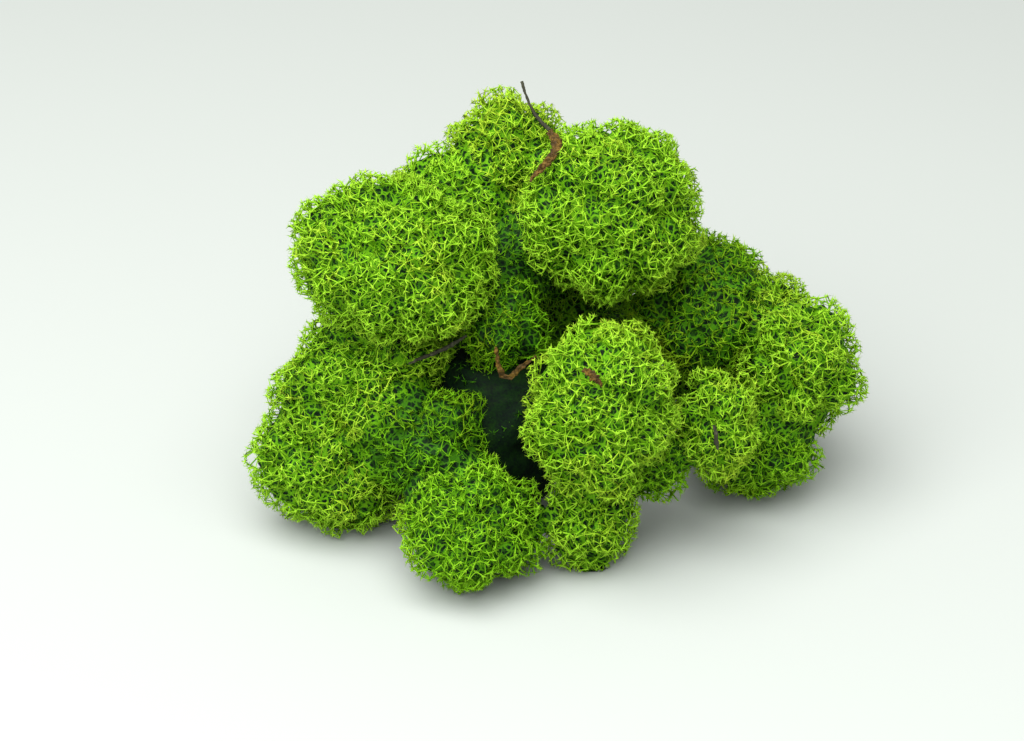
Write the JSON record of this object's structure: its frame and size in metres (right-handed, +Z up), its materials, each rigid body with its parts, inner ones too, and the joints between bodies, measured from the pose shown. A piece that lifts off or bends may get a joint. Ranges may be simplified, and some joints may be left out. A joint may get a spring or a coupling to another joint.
{
  "type": "moss clump",
  "caption": "Loose clump of green reindeer lichen: rounded, finely branched tufts pressed into one another in an airy heap, with bits of forest litter caught between them.",
  "frame": {"origin": "on the surface that the clump rests on, under the middle of its bounding box", "axes": "+X to the right along the clump's longest way, +Y to its back, +Z up"},
  "size_m": [0.0954, 0.076, 0.0662],
  "materials": {
    "dyed_lichen": "dry, matt and slightly see-through, dyed lime green",
    "twig_bark": "weathered, dark grey-brown",
    "dead_leaf": "dry, warm brown"
  },
  "bodies": {
    "root": {"tuft_front_low": "dyed_lichen", "tuft_front_foot": "dyed_lichen", "tuft_front_side": "dyed_lichen", "tuft_front_high": "dyed_lichen", "tuft_left_low": "dyed_lichen", "tuft_left_middle": "dyed_lichen", "tuft_left_inner": "dyed_lichen", "tuft_left_high": "dyed_lichen", "tuft_top_left": "dyed_lichen", "tuft_top_back": "dyed_lichen", "tuft_top_right": "dyed_lichen", "tuft_middle_high": "dyed_lichen", "tuft_middle_small": "dyed_lichen", "tuft_middle_low": "dyed_lichen", "tuft_right_back": "dyed_lichen", "tuft_right_shoulder": "dyed_lichen", "tuft_right_far": "dyed_lichen", "tuft_right_small": "dyed_lichen", "tuft_right_low": "dyed_lichen", "tuft_back_left": "dyed_lichen", "tuft_back_left_low": "dyed_lichen", "tuft_back_middle": "dyed_lichen", "tuft_back_low": "dyed_lichen", "tuft_back_right": "dyed_lichen", "dry_stalk": "twig_bark", "dark_twig": "twig_bark", "twig_stub": "twig_bark", "bark_scrap": "dead_leaf", "curled_leaf": "dead_leaf", "bark_crumb": "dead_leaf"}
  },
  "joints": []
}
